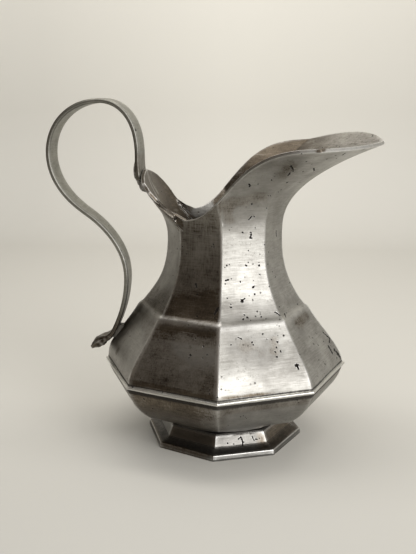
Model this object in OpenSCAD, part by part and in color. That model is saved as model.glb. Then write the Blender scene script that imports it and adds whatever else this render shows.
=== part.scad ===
// Octagonal pewter pitcher: a faceted body in two cast halves on a shallow bowl and a splayed foot,
// with a half-round belt, a flaring mouth drawn out to a pointed spout, and a looped strap handle.
// The spout points to +X and the handle to -X. The part stands on the plane z = 0.

/* [Foot] */
// Height of the foot
foot_h = 13; // [10:0.5:20]
// Height of the upright strip at the bottom of the foot
plinth_h = 3.6; // [2.5:0.1:4.5]
// How far the foot's top edge stands out from under the bowl
foot_ledge = 0.5; // [0.2:0.1:2]
// Width of the slanting band under the bowl, seen from above
foot_band_w = 3.1; // [2:0.1:6]
// How far the hollow moulding and the strip stand out beyond the band
foot_spread = 7.4; // [5:0.1:11]
// Turn of the foot against the bowl, as it was soldered on by hand
foot_turn = -4.5; // [-6:0.5:6]

/* [Bowl] */
// Height from the top of the foot to the joint under the belt
bowl_h = 35.6; // [28:0.2:44]
// Corner radius of the flat bottom of the bowl
bowl_bottom_r = 41; // [36:0.5:46]
// How far inside the body's corners the point lies that the bowl's curve is drawn towards
bowl_pull_in = 3.9; // [1.5:0.1:8]
// Height of that point above the top of the foot
bowl_pull_h = 14; // [10:0.5:20]
// Thickness of the flat bottom
bottom_t = 2.4; // [1.8:0.1:4]

/* [Belt] */
// Corner radius over the belt, the widest ring of the body
belt_r = 80; // [78:0.5:90]
// How far the belt stands out from the body
belt_proud = 1.6; // [0.8:0.1:2.5]
// Height of the belt
belt_h = 3.2; // [2:0.1:4.5]

/* [Shoulder and neck] */
// Height from the belt's joint to the crest at the foot of the neck
shoulder_h = 37.5; // [32:0.5:46]
// Corner radius of the crest
crest_r = 55.6; // [52:0.2:60]
// How much the lower half of the shoulder swells over a straight slope
shoulder_swell = 4.5; // [1:0.5:7]
// Height of the small cove over the crest
cove_h = 3.8; // [2.5:0.1:6]
// Width of the cove over the crest
cove_w = 4.2; // [3:0.1:7]
// How much further the rear keel of the shoulder stands out than the other corners
rear_swell = 2.2; // [0:0.1:4]
// Height from the cove to the narrowest part of the neck
neck_h = 40.7; // [34:0.5:50]
// Corner radius at the narrowest part of the neck
neck_r = 37; // [33:0.5:42]

/* [Mouth and spout] */
// Reach of the spout's tip from the middle of the body
spout_reach = 99.4; // [88:0.2:108]
// Height of the spout's tip over the neck
tip_h = 61.6; // [56:0.2:68]
// Height of the lip beside the spout over the neck
lip_h = 59.8; // [54:0.2:61]
// How far the left rim swells up between the lip and the spout's tip
left_swell = 5.4; // [1:0.2:7]
// The same on the right, where the rim was bent down until it ran nearly straight
right_swell = 0; // [-1:0.2:6]
// Height of the lowest point of the rim over the neck
dip_h = 16.2; // [12:0.2:22]
// Height of the rear peak over the neck
peak_h = 45; // [38:0.2:50]
// Reach of the rear peak from the middle of the body
rear_reach = 52; // [46:0.2:56]
// Half width of the mouth at the corners beside the spout
mouth_half_w = 56.5; // [50:0.5:64]
// Half width of the rear lip that carries the handle
rear_half_w = 33; // [28:0.5:38]
// Power of the flare: a higher value keeps the neck straight for longer
flare_power = 2.3; // [1.8:0.1:2.8]
// Thickness of the cast wall
wall_t = 2.2; // [1.6:0.1:3]

/* [Handle] */
// Width of the strap where it leaves the rim
strap_top_w = 27; // [20:0.5:32]
// Width of the strap at its lower end
strap_end_w = 11; // [8:0.5:15]
// Thickness of the strap
strap_t = 3; // [2.4:0.1:4]
// Reach of the loop behind the rear peak
loop_reach = 61; // [52:0.5:70]
// Height of the loop over the rear peak
loop_rise = 44.6; // [36:0.2:54]
// Thickness of the bud that ends the strap
bud_t = 6.6; // [5:0.2:8]
// Length of the tongue that hangs down behind the rear peak
tongue_l = 20.5; // [16:0.5:26]
// Width of the tongue at its top
tongue_w = 15; // [10:0.5:18]

/* [Solder] */
// Thickness of a solder joint between two castings
solder_t = 0.4; // [0.2:0.1:0.8]
// Width of the soldered seam along the spout and along the back
seam_w = 0.8; // [0.4:0.1:1.4]

/* [Hidden] */

// The body is an octagon with a corner on the spout and one on the back
sides = 8;
half_turn = 360 / sides / 2;
corner_cos = cos(half_turn);

// Heights, from the table up
bowl_z = foot_h + solder_t;
joint_z = bowl_z + bowl_h;
shoulder_z = joint_z + solder_t;
band_z = joint_z + belt_h / 2;
crest_z = joint_z + shoulder_h;
cove_z = crest_z + cove_h;
neck_z = cove_z + neck_h;
dip_z = neck_z + dip_h;
peak_z = neck_z + peak_h;
lip_z = neck_z + lip_h;
tip_z = neck_z + tip_h;

// Corner radii that follow from the named ones
body_r = belt_r - belt_proud;
cove_r = crest_r - cove_w;
foot_top_r = bowl_bottom_r + foot_ledge;
foot_waist_r = foot_top_r + foot_band_w;
foot_r = foot_waist_r + foot_spread;
bowl_pull_r = body_r - bowl_pull_in;

// The flare begins a little over the neck, and lower at the back than at the spout
lip_flare_z = neck_z + dip_h * 0.62;
spout_flare_z = neck_z + dip_h * 0.55;
rear_flare_z = neck_z + dip_h * 0.24;

// Places on the rim: its lowest point, the lip's corner, the side corner and the rear corner
dip_x = -neck_r * 0.608;
lip_x = neck_r * 1.53;
rim_sweep = neck_r * 0.905;
side_x = -neck_r * 0.06;
side_y = neck_r * 1.14;
side_z = neck_z + dip_h * 1.71;
rear_corner_x = -neck_r * 0.81;
rear_corner_y = neck_r * 0.68;
rear_corner_z = neck_z + dip_h * 1.22;
lip_power = flare_power + 0.14;
side_power = flare_power - 0.7;
rim_power = flare_power - 0.2;
rear_rim_power = 1.8;
rear_power = 2;

function mix(a, b, s) = a + (b - a) * s;
function clamp01(s) = max(0, min(1, s));
function ease(s) = let (c = clamp01(s)) c * c * (3 - 2 * c);
function bez2(a, b, c, t) = (1 - t) * (1 - t) * a + 2 * t * (1 - t) * b + t * t * c;
function bez3(a, b, c, d, t) =
    pow(1 - t, 3) * a + 3 * t * pow(1 - t, 2) * b + 3 * t * t * (1 - t) * c + pow(t, 3) * d;

// Shoulder, cove and neck sweep share one profile on every corner: [radius, height]
shoulder_steps = 8;
sweep_steps = 6;
mouth_steps = 10;
shoulder_low = [mix(body_r, crest_r, 0.25), mix(band_z, crest_z, 0.16)] + [1, 1] * shoulder_swell;
shoulder_top = [mix(body_r, crest_r, 0.72), mix(band_z, crest_z, 0.69)];
crest_round = cove_h * 0.45;
low_profile = concat(
    [[body_r, shoulder_z]],
    [for (i = [0:shoulder_steps])
        bez3([body_r, band_z], shoulder_low, shoulder_top, [crest_r, crest_z], i / shoulder_steps)],
    [[crest_r - cove_w * 0.25, crest_z + crest_round], [crest_r - cove_w * 0.7, crest_z + cove_h * 0.8]],
    [for (i = [0:sweep_steps])
        bez2([cove_r, cove_z], [neck_r, mix(cove_z, neck_z, 0.45)], [neck_r, neck_z], i / sweep_steps)]);
low_count = len(low_profile);
function rear_out(z) = rear_swell * ease((z - band_z) / (shoulder_h * 0.3))
    * (1 - ease((z - cove_z) / (neck_h * 0.5)));

// Corners of the mouth, from the spout (0) round the left side to the back (4), as [x, y] at a height
function grow(z, from, to, power) = pow(max(0, z - from) / (to - from), power);
function rear_grow(z, top) = ease((z - rear_flare_z) / (top - rear_flare_z));
neck_xy = neck_r * cos(2 * half_turn);
function corner(k, z) =
    k == 0 ? [mix(neck_r, spout_reach, grow(z, spout_flare_z, tip_z, flare_power)), 0] :
    k == 1 ? let (g = grow(z, lip_flare_z, lip_z, lip_power))
        [mix(neck_xy, lip_x, g), mix(neck_xy, mouth_half_w, g)] :
    k == 2 ? let (g = grow(z, spout_flare_z, side_z, side_power)) [side_x * g, mix(neck_r, side_y, g)] :
    k == 3 ? let (g = min(1, grow(z, rear_flare_z, rear_corner_z, rear_power)))
        [mix(-neck_xy, rear_corner_x, g), mix(neck_xy, rear_corner_y, g)] :
    [-mix(neck_r, rear_reach, rear_grow(z, peak_z)), 0];

// Height of the rim over a place along X: a dip behind the middle, a peak at the back, a lip in front
function rim_height(x) = x < dip_x
    ? mix(dip_z, peak_z, pow(clamp01((dip_x - x) / (dip_x + rear_reach)), rear_rim_power))
    : mix(dip_z, lip_z, 1 - exp(-pow((x - dip_x) / rim_sweep, rim_power)));

// Height at which the line that runs up a facet meets the rim, found by halving
function rim_z(k, s, low, high, n) = let (mid = (low + high) / 2)
    n == 0 ? mid :
    mid < rim_height(mix(corner(k, mid), corner(k + 1, mid), s)[0])
        ? rim_z(k, s, mid, high, n - 1) : rim_z(k, s, low, mid, n - 1);
function rim_top(k, s) = s > 0 || k == 2 ? rim_z(k, s, neck_z, lip_z, 18) : k == 1 ? lip_z : rear_corner_z;

// One corner of a station, outside and inside: [x, y, z]. The inside lies wall_t below the facets.
function slope_at(list, j) = let (a = list[max(0, j - 1)], b = list[min(len(list) - 1, j + 1)])
    (b[0] - a[0]) / (b[1] - a[1]);
function inset(p, z, slope) = let (
        r = norm(p),
        run = sqrt(1 + slope * slope),
        depth = wall_t * sqrt(1 + pow(slope * corner_cos, 2)) / (corner_cos * run))
    [p[0] * (1 - depth / run / r), p[1] * (1 - depth / run / r), z + depth * slope / run];
probe = wall_t / 10;
function mouth_slope(k, z) = (norm(corner(k, z + probe)) - norm(corner(k, z - probe))) / (2 * probe);
function low_corner(k, j, inside) = let (
        p = low_profile[j],
        r = p[0] + (k == 4 ? rear_out(p[1]) : 0),
        at = r * [cos(k * 2 * half_turn), sin(k * 2 * half_turn)],
        slope = j == 0 ? 0 : slope_at(low_profile, j))
    inside ? inset(at, p[1], slope) : [at[0], at[1], p[1]];
function mouth_corner(k, z, inside) = let (at = corner(k, z))
    inside ? inset(at, z, mouth_slope(k, z)) : [at[0], at[1], z];

// The two facets beside the spout's keel and the two beside the rear keel spread into lips that are wider
// than the neck. Each has a curved rim, from s = 0 to s = 1, and every line up it flares from the neck.
function spout_rim(swell) = [
    [spout_reach, 0, tip_z],
    [mix(lip_x, spout_reach, 0.945), mouth_half_w * 0.32, tip_z + swell * 1.35],
    [mix(lip_x, spout_reach, 0.55), mouth_half_w * 0.75, lip_z + swell * 1.3],
    [lip_x, mouth_half_w, lip_z]];
rear_rim = [
    [rear_corner_x, rear_corner_y, rear_corner_z],
    [mix(rear_corner_x, -rear_reach, 0.46), rear_half_w * 1.03, mix(rear_corner_z, peak_z, 0.29)],
    [-rear_reach * 1.02, rear_half_w * 1.39, mix(rear_corner_z, peak_z, 0.84)],
    [-rear_reach, 0, peak_z]];
function lip_at(k, s, v, swell = 0) = let (
        rim = k == 0 ? spout_rim(swell) : rear_rim,
        to = bez3(rim[0], rim[1], rim[2], rim[3], s),
        from = k == 0 ? mix([neck_r, 0], [neck_xy, neck_xy], s) : mix([-neck_xy, neck_xy], [-neck_r, 0], s),
        z = mix(neck_z, to[2], v),
        g = k == 0
            ? mix(grow(z, spout_flare_z, to[2], flare_power), grow(z, lip_flare_z, to[2], lip_power), s)
            : mix(grow(z, rear_flare_z, to[2], rear_power), rear_grow(z, to[2]), s))
    [mix(from[0], to[0], g), mix(from[1], to[1], g), z];
lip_probe_share = 0.02;
function lip_inside(k, s, v, swell) = let (
        across = k == 0 && s == 0 ? [0, 1, 0] : k == 3 && s == 1 ? [0, -1, 0] :
            lip_at(k, s + lip_probe_share, v, swell) - lip_at(k, s - lip_probe_share, v, swell),
        up = lip_at(k, s, v + lip_probe_share, swell) - lip_at(k, s, v - lip_probe_share, swell),
        out = cross(across, up))
    lip_at(k, s, v, swell) - wall_t * out / norm(out);

// A point on facet k at a share s of its width, where a share under 0 or over 1 is the seam's edge
function on_facet(a, b, s) = let (
        seam = seam_w / 2 / max(abs(a[1]), abs(b[1])),
        share = s < 0 ? seam : s > 1 ? 1 - seam : s)
    mix(a, b, share);
function mouth_point(k, s, v, inside, swell) = k == 0 || k == 3 && s > 0
    ? let (t = clamp01(s), p = inside ? lip_inside(k, t, v, swell) : lip_at(k, t, v, swell))
        s == t ? p : [p[0], seam_w / 2, p[2]]
    : let (z = mix(neck_z, rim_top(k, s), v))
        mix(mouth_corner(k, z, inside), mouth_corner(k + 1, z, inside), s);
function column(k, s, inside, swell = 0) = concat(
    [for (j = [0:low_count - 1]) on_facet(low_corner(k, j, inside), low_corner(k + 1, j, inside), s)],
    [for (j = [1:mouth_steps]) mouth_point(k, s, j / mouth_steps, inside, swell)]);

// Closed shell between two grids of points of the same size, outside and inside
module shell(outside, inside) {
    cols = len(outside);
    rows = len(outside[0]);
    points = concat([for (c = outside) each c], [for (c = inside) each c]);
    in0 = cols * rows;
    function o(i, j) = i * rows + j;
    function n(i, j) = in0 + i * rows + j;
    function quad(a, b, c, d) = [[a, b, c], [a, c, d]];
    faces = concat(
        [for (i = [0:cols - 2], j = [0:rows - 2])
            each quad(o(i, j), o(i, j + 1), o(i + 1, j + 1), o(i + 1, j))],
        [for (i = [0:cols - 2], j = [0:rows - 2])
            each quad(n(i, j), n(i + 1, j), n(i + 1, j + 1), n(i, j + 1))],
        [for (i = [0:cols - 2]) each quad(o(i, 0), o(i + 1, 0), n(i + 1, 0), n(i, 0))],
        [for (i = [0:cols - 2], j = [rows - 1]) each quad(o(i, j), n(i, j), n(i + 1, j), o(i + 1, j))],
        [for (j = [0:rows - 2]) each quad(o(0, j), n(0, j), n(0, j + 1), o(0, j + 1))],
        [for (i = [cols - 1], j = [0:rows - 2]) each quad(o(i, j), o(i, j + 1), n(i, j + 1), n(i, j))]);
    polyhedron(points, faces, convexity = 6);
}

// Half of the upper body, drawn at y > 0, from the seam in front to the seam at the back. The facets have
// more steps where the rim runs steeply over them.
facet_steps = [6, 8, 5, 6];
module body_half(swell) {
    marks = concat(
        [[0, -1]],
        [for (k = [0:3], i = [0:facet_steps[k] - 1]) if (k + i > 0) [k, i / facet_steps[k]]],
        [[3, 2]]);
    shell([for (m = marks) column(m[0], m[1], false, swell)],
        [for (m = marks) column(m[0], m[1], true, swell)]);
}

module upper_body_left() { color("darkgray") body_half(left_swell); }

module upper_body_right() { color("silver") mirror([0, 1, 0]) body_half(right_swell); }

// Solder between the halves: three columns, of which the middle one is the keel itself. The first column
// lies at y > 0 where first is 1, and at y < 0 where it is -1.
module keel_seam(k, keel, edge, first) {
    function across(side, inside) = [for (p = column(k, edge, inside)) [p[0], p[1] * side, p[2]]];
    shell([across(first, false), column(k, keel, false), across(-first, false)],
        [across(first, true), column(k, keel, true), across(-first, true)]);
}

module spout_seam() { color("dimgray") keel_seam(0, 0, -1, -1); }

module rear_seam() { color("dimgray") keel_seam(3, 1, 2, 1); }

// Eight-sided turned shape with a corner on the spout
module octagon_turn(profile) { rotate_extrude($fn = sides) polygon(profile); }

// Splayed foot: upright strip, hollow moulding, slanting band and an open underside. The strip's lower part
// is a plain ring with one flat face, on which the pitcher stands.
module foot() {
    strip_z = plinth_h * 0.4;
    ring_in = foot_r - wall_t * 1.8;
    strip_in = wall_t * 0.5;
    cove_low = plinth_h + strip_in * 0.5;
    cove_top = foot_h * 0.56;
    cove_steps = 5;
    outer = concat(
        [[foot_r, strip_z], [foot_r - strip_in * 0.5, plinth_h]],
        [for (i = [0:cove_steps])
            bez2([foot_r - strip_in * 1.8, cove_low], [foot_waist_r + strip_in * 0.4, cove_low + strip_in],
                [foot_waist_r, cove_top], i / cove_steps)],
        [[foot_top_r, foot_h]]);
    inner = [[foot_top_r - wall_t * 1.4, foot_h], [foot_waist_r - wall_t * 1.6, cove_top * 0.8],
        [ring_in, strip_z]];
    color("gray") rotate(foot_turn) union() {
        octagon_turn(concat(outer, inner));
        linear_extrude(strip_z) difference() {
            circle(foot_r, $fn = sides);
            circle(ring_in, $fn = sides);
        }
    }
}

module foot_solder() {
    lap = wall_t * 0.3;
    color("dimgray") rotate(foot_turn) octagon_turn([
        [foot_top_r - wall_t * 1.4, foot_h], [foot_top_r - lap, foot_h],
        [foot_top_r - lap, bowl_z], [foot_top_r - wall_t * 1.4, bowl_z]]);
}

// Shallow bowl with a flat bottom, and a lip inside its edge that centres the upper body
bowl_steps = 10;
module lower_bowl() {
    wall = wall_t / corner_cos;
    lip_t = wall_t * 0.55;
    lip_gap = wall_t * 0.55;
    edge_z = joint_z - belt_h / 2;
    outer = [for (i = [0:bowl_steps])
        bez2([bowl_bottom_r, bowl_z], [bowl_pull_r, bowl_z + bowl_pull_h],
            [body_r, edge_z], i / bowl_steps)];
    inner = [for (i = [bowl_steps - 1:-1:0])
        bez2([bowl_bottom_r, bowl_z + bottom_t], [bowl_pull_r - wall, bowl_z + bowl_pull_h + wall_t * 0.5],
            [body_r - wall, edge_z], i / bowl_steps)];
    lip_r = body_r - wall - lip_gap;
    edge = [[body_r, joint_z], [body_r - wall, joint_z], [body_r - wall, joint_z - lip_gap],
        [lip_r, joint_z - lip_gap], [lip_r, joint_z + wall_t], [lip_r - lip_t, joint_z + wall_t],
        [lip_r - lip_t, edge_z - lip_gap]];
    color("gainsboro") octagon_turn(concat([[0, bowl_z]], outer, edge, inner, [[0, bowl_z + bottom_t]]));
}

module belt_solder() {
    color("dimgray") octagon_turn([
        [body_r - wall_t / corner_cos, joint_z], [body_r, joint_z],
        [body_r, shoulder_z], [body_r - wall_t / corner_cos, shoulder_z]]);
}

// Half-round moulding round the joint of bowl and upper body
belt_steps = 8;
module belt_moulding() {
    color("whitesmoke") octagon_turn([for (i = [0:belt_steps]) let (a = -90 + 180 * i / belt_steps)
        [body_r + belt_proud * cos(a), joint_z + belt_h / 2 * sin(a)]]);
}

// Strap handle: its middle line lies in the plane y = 0, as Bezier pieces from the rim to the bud
skin = solder_t * 0.25;
low_table = [for (p = low_profile) [p[1], p[0] + rear_out(p[1])]];
function back_x(z) = z < neck_z ? -lookup(z, low_table) : corner(4, z)[0];
strap_low_z = peak_z - tongue_l * 0.278;
strap_low_x = back_x(strap_low_z) - solder_t - strap_t * 0.5;
// The strap leaves along the wall, by a share of how far the wall still runs back up to the peak
strap_follow_share = 1.92;
strap_start_x = strap_low_x + (back_x(peak_z) - back_x(strap_low_z)) * strap_follow_share;
leg_x = back_x(peak_z) - strap_t * 0.75;
leg_z = peak_z + loop_rise * 0.27;
loop_top_z = peak_z + loop_rise - strap_t / 2;
loop_back_x = -(rear_reach + loop_reach) + strap_t / 2;
loop_back_z = peak_z + loop_rise * 0.22;
loop_mid_x = mix(leg_x, loop_back_x, 0.41);
waist_z = crest_z + shoulder_h * 0.57;
waist_x = -(crest_r + strap_t * 2.65);
bend_x = mix(waist_x, loop_back_x, 0.55);
bend_z = mix(waist_z, loop_back_z, 0.53);
seat_z = crest_z - shoulder_h * 0.49;
seat_x = back_x(seat_z) - solder_t - strap_t * 0.75;
bud_x = seat_x - loop_reach * 0.245;
bud_z = seat_z - shoulder_h * 0.275;
strap_line = [
    [[strap_low_x, strap_low_z], [strap_start_x, mix(strap_low_z, leg_z, 0.35)],
        [leg_x, mix(strap_low_z, leg_z, 0.6)], [leg_x, leg_z]],
    [[leg_x, leg_z], [leg_x, mix(leg_z, loop_top_z, 0.6)],
        [mix(leg_x, loop_mid_x, 0.42), loop_top_z], [loop_mid_x, loop_top_z]],
    [[loop_mid_x, loop_top_z], [mix(loop_mid_x, loop_back_x, 0.58), loop_top_z],
        [loop_back_x, mix(loop_top_z, loop_back_z, 0.45)], [loop_back_x, loop_back_z]],
    [[loop_back_x, loop_back_z], [loop_back_x, mix(loop_back_z, bend_z, 0.46)],
        [mix(loop_back_x, bend_x, 0.5), mix(loop_back_z, bend_z, 0.79)], [bend_x, bend_z]],
    [[bend_x, bend_z], [mix(bend_x, waist_x, 0.42), mix(bend_z, waist_z, 0.17)],
        [waist_x, mix(bend_z, waist_z, 0.56)], [waist_x, waist_z]],
    [[waist_x, waist_z], [waist_x, mix(waist_z, seat_z, 0.4)],
        [mix(waist_x, seat_x, 0.45), mix(waist_z, seat_z, 0.72)], [seat_x, seat_z]],
    [[seat_x, seat_z], [mix(seat_x, bud_x, 0.2), mix(seat_z, bud_z, 0.42)],
        [mix(seat_x, bud_x, 0.58), mix(seat_z, bud_z, 0.62)], [bud_x, bud_z]]];
piece_steps = 7;
pieces = len(strap_line);
function strap_at(u) = let (i = min(pieces - 1, floor(u * pieces)), t = u * pieces - i, q = strap_line[i])
    bez3(q[0], q[1], q[2], q[3], t);
strap_probe_share = 0.002;
bud_shares = [[0, 0], [0.88, 0], [0.92, 0.35], [0.94, 1], [0.98, 0.8], [1, -0.3]];
function strap_out(u) = let (
        d = strap_at(min(1, u + strap_probe_share)) - strap_at(max(0, u - strap_probe_share)))
    [-d[1], d[0]] / norm(d);
function strap_w(u) = mix(strap_top_w, strap_end_w, pow(u, 0.9));
function strap_h(u) = mix(strap_t, bud_t, lookup(u, bud_shares));
strap_bevel_share = 0.3;

// Section of the strap across its line: flat faces with bevelled edges, seen from the rim end
function strap_ring(u) = let (
        c = strap_at(u), n = strap_out(u), w = strap_w(u) / 2, h = strap_h(u) / 2,
        b = h * 2 * strap_bevel_share,
        half = [[w - b, h], [w, h - b], [w, b - h], [w - b, -h]],
        section = concat(half, [for (p = half) -p]))
    [for (p = section) [c[0] + n[0] * p[1], p[0], c[1] + n[1] * p[1]]];
module handle_strap() {
    rows = pieces * piece_steps;
    rings = [for (i = [0:rows]) strap_ring(i / rows)];
    m = len(rings[0]);
    points = [for (r = rings) each r];
    faces = concat(
        [[for (i = [m - 1:-1:0]) i]],
        [for (j = [0:rows - 1], i = [0:m - 1]) let (a = j * m + i, b = j * m + (i + 1) % m)
            each [[a, b + m, a + m], [a, b, b + m]]],
        [[for (i = [0:m - 1]) rows * m + i]]);
    color("lightgray") polyhedron(points, faces, convexity = 8);
}

// Tongue: a rough leaf, wide at the top and drawn to a point, over the end of the strap
leg_table = [for (i = [0:2 * piece_steps]) let (c = strap_at(i / piece_steps / pieces / 2)) [c[1], c[0]]];
tongue_top_z = peak_z + tongue_l * 0.29;
tongue_tip_z = peak_z - tongue_l * 0.71;
tongue_rows = 8;
tongue_side_shares = [-1, -0.62, 0, 0.62, 1];
tongue_body_shares = [0.3, 0.88, 1, 0.88, 0.3];
function tongue_half(v) = tongue_w / 2 * sqrt(max(0.04, 1 - pow(abs(v - 0.28) / 0.76, 2.4)));
tongue_thick_shares = [[0, 0.3], [0.12, 0.9], [0.28, 1.55], [0.5, 1.95], [0.75, 1.95],
    [0.92, 1.8], [1, 1.45]];
function tongue_thick(v) = strap_t * lookup(v, tongue_thick_shares);
tongue_step_z = strap_low_z - strap_t * 0.25;
function tongue_back(z) = z > tongue_step_z - skin
    ? lookup(z, leg_table) - strap_t * 0.56 - skin
    : back_x(z) - solder_t - skin;
tongue_levels = concat(
    [for (i = [0:tongue_rows - 1]) mix(tongue_top_z, tongue_step_z, i / (tongue_rows - 1))],
    [for (i = [0:tongue_rows]) mix(tongue_step_z - 2 * skin, tongue_tip_z, i / tongue_rows)]);
module handle_tongue() {
    function v_of(z) = (tongue_top_z - z) / (tongue_top_z - tongue_tip_z);
    function front(z) = mix(tongue_back(tongue_top_z), back_x(tongue_tip_z) - solder_t - skin, v_of(z))
        - tongue_thick(v_of(z));
    function side(i, z) = tongue_half(v_of(z)) * tongue_side_shares[i];
    function face(i, z) = let (b = tongue_back(z)) mix(b, min(front(z), b - skin), tongue_body_shares[i]);
    color("dimgray") shell(
        [for (i = [0:4]) [for (z = tongue_levels) [face(i, z), side(i, z), z]]],
        [for (i = [0:4]) [for (z = tongue_levels) [tongue_back(z), side(i, z), z]]]);
}

// Solder between the flat face of the strap and the rear facets: rows of points on the strap, and the
// points of the body's wall that lie level with them
solder_sides = 3;
top_side_shares = [0.94, 1];
top_height_shares = [0.9, 1];
low_length_shares = [0.835, 0.885];
module handle_top_solder() {
    shares = [for (i = [0:solder_sides]) mix(top_side_shares[0], top_side_shares[1], i / solder_sides)];
    heights = [for (j = [0:solder_sides])
        mix(top_height_shares[0], top_height_shares[1], j / solder_sides)];
    function wall(s, v) = lip_at(3, s, v) - [skin, 0, 0];
    function face(s, v) = let (w = wall(s, v)) [lookup(w[2], leg_table) + strap_t / 2 + skin, w[1], w[2]];
    function both(rows) = concat([for (r = rows) [for (p = r) [p[0], -p[1], p[2]]]],
        [for (i = [len(rows) - 2:-1:0]) rows[i]]);
    color("dimgray") shell(
        both([for (s = shares) [for (v = heights) wall(s, v)]]),
        both([for (s = shares) [for (v = heights) face(s, v)]]));
}

module handle_low_solder() {
    half = strap_end_w * 0.3;
    ys = [for (i = [-solder_sides:solder_sides]) half * i / solder_sides];
    us = [for (j = [0:solder_sides + 1])
        mix(low_length_shares[0], low_length_shares[1], j / (solder_sides + 1))];
    function face(u) = strap_at(u) + strap_out(u) * (strap_h(u) / 2 + skin);
    function wall(y, z) = back_x(z) + abs(y) * tan(half_turn) - skin;
    color("dimgray") shell(
        [for (y = ys) [for (u = us) let (f = face(u)) [f[0], y, f[1]]]],
        [for (y = ys) [for (u = us) let (f = face(u)) [wall(y, f[1]), y, f[1]]]]);
}

foot();
foot_solder();
lower_bowl();
belt_solder();
belt_moulding();
upper_body_right();
upper_body_left();
spout_seam();
rear_seam();
handle_strap();
handle_tongue();
handle_top_solder();
handle_low_solder();
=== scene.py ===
import bpy, bmesh, math
import numpy as np
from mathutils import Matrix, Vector, noise
from mathutils.kdtree import KDTree


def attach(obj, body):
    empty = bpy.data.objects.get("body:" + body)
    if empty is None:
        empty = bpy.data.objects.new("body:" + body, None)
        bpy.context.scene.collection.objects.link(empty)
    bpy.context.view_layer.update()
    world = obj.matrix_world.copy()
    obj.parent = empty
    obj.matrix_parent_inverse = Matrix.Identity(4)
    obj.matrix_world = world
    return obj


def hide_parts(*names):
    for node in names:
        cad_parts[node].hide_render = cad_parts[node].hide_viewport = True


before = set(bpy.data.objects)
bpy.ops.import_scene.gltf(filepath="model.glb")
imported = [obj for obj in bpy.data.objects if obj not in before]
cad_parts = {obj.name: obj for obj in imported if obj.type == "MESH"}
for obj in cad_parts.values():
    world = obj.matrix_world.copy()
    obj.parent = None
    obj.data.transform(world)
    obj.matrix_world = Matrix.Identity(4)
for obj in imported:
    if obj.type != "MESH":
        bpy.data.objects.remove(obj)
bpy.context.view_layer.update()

# The camera stands half a metre away, a little above the belt, turned 4 degrees to the spout. The picture is
# 416 by 554 pixels, and a pixel's ray is used further down to put each pit where it was seen.
PICTURE = (416, 554)
FOCAL_PX = 780
SENSOR_MM = 36
DISTANCE = 0.5105
aim = Vector((-0.01076, -0.00075, 0.10615))
swing, rise = math.radians(4), math.radians(12.95)
back = Vector((math.sin(swing) * math.cos(rise), -math.cos(swing) * math.cos(rise), math.sin(rise)))
camera = bpy.data.objects.new("camera", bpy.data.cameras.new("camera"))
bpy.context.scene.collection.objects.link(camera)
camera.location = aim + back * DISTANCE
camera.rotation_euler = back.to_track_quat("Z", "Y").to_euler()
camera.data.lens = FOCAL_PX * SENSOR_MM / PICTURE[1]
camera.data.sensor_width = SENSOR_MM
camera.data.clip_start = 0.01
bpy.context.scene.camera = camera
bpy.context.view_layer.update()


def pixel_ray(px, py):
    """Direction from the camera through a pixel of the picture."""
    turned = camera.rotation_euler.to_matrix()
    return (turned @ Vector((px - PICTURE[0] / 2, PICTURE[1] / 2 - py, -FOCAL_PX))).normalized()


# The two cast halves of the upper body: shoulder, neck and flaring mouth, in pewter about 2 mm thick. They
# were filed to eight flats and brushed level with the belt. Age has pitted them and worn the corners bright.

def pick(piece):
    """Select one piece and nothing else."""
    bpy.ops.object.select_all(action="DESELECT")
    piece.select_set(True)
    bpy.context.view_layer.objects.active = piece


def casting(node, name, crease=24, levels=2, edge=0.5, smooth=True):
    """A finer copy of a casting: smooth along its sweeps, with its corners kept and rounded by hand wear."""
    piece = bpy.data.objects.new(name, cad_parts[node].data.copy())
    bpy.context.scene.collection.objects.link(piece)
    piece.data.materials.clear()
    pick(piece)
    bpy.ops.object.mode_set(mode="EDIT")
    bpy.ops.mesh.select_all(action="SELECT")
    bpy.ops.mesh.customdata_custom_splitnormals_clear()
    bpy.ops.mesh.remove_doubles(threshold=1e-6)
    bpy.ops.mesh.tris_convert_to_quads(face_threshold=math.radians(20), shape_threshold=math.radians(180))
    bpy.ops.mesh.select_all(action="DESELECT")
    bpy.ops.mesh.select_mode(type="EDGE")
    bpy.ops.mesh.edges_select_sharp(sharpness=math.radians(crease))
    bpy.ops.transform.edge_crease(value=1)
    bpy.ops.object.mode_set(mode="OBJECT")
    finer = piece.modifiers.new("finer", "SUBSURF")
    finer.levels = finer.render_levels = levels
    finer.subdivision_type = "CATMULL_CLARK" if smooth else "SIMPLE"
    bpy.ops.object.modifier_apply(modifier=finer.name)
    if edge:
        round_edges(piece, edge, crease)
    return piece


def round_edges(piece, width, angle):
    """Round every edge sharper than the angle, by a width in millimetres."""
    pick(piece)
    worn = piece.modifiers.new("worn edges", "BEVEL")
    worn.width = width / 1000
    worn.segments = 2
    worn.limit_method = "ANGLE"
    worn.angle_limit = math.radians(angle)
    worn.use_clamp_overlap = True
    bpy.ops.object.modifier_apply(modifier=worn.name)


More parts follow.
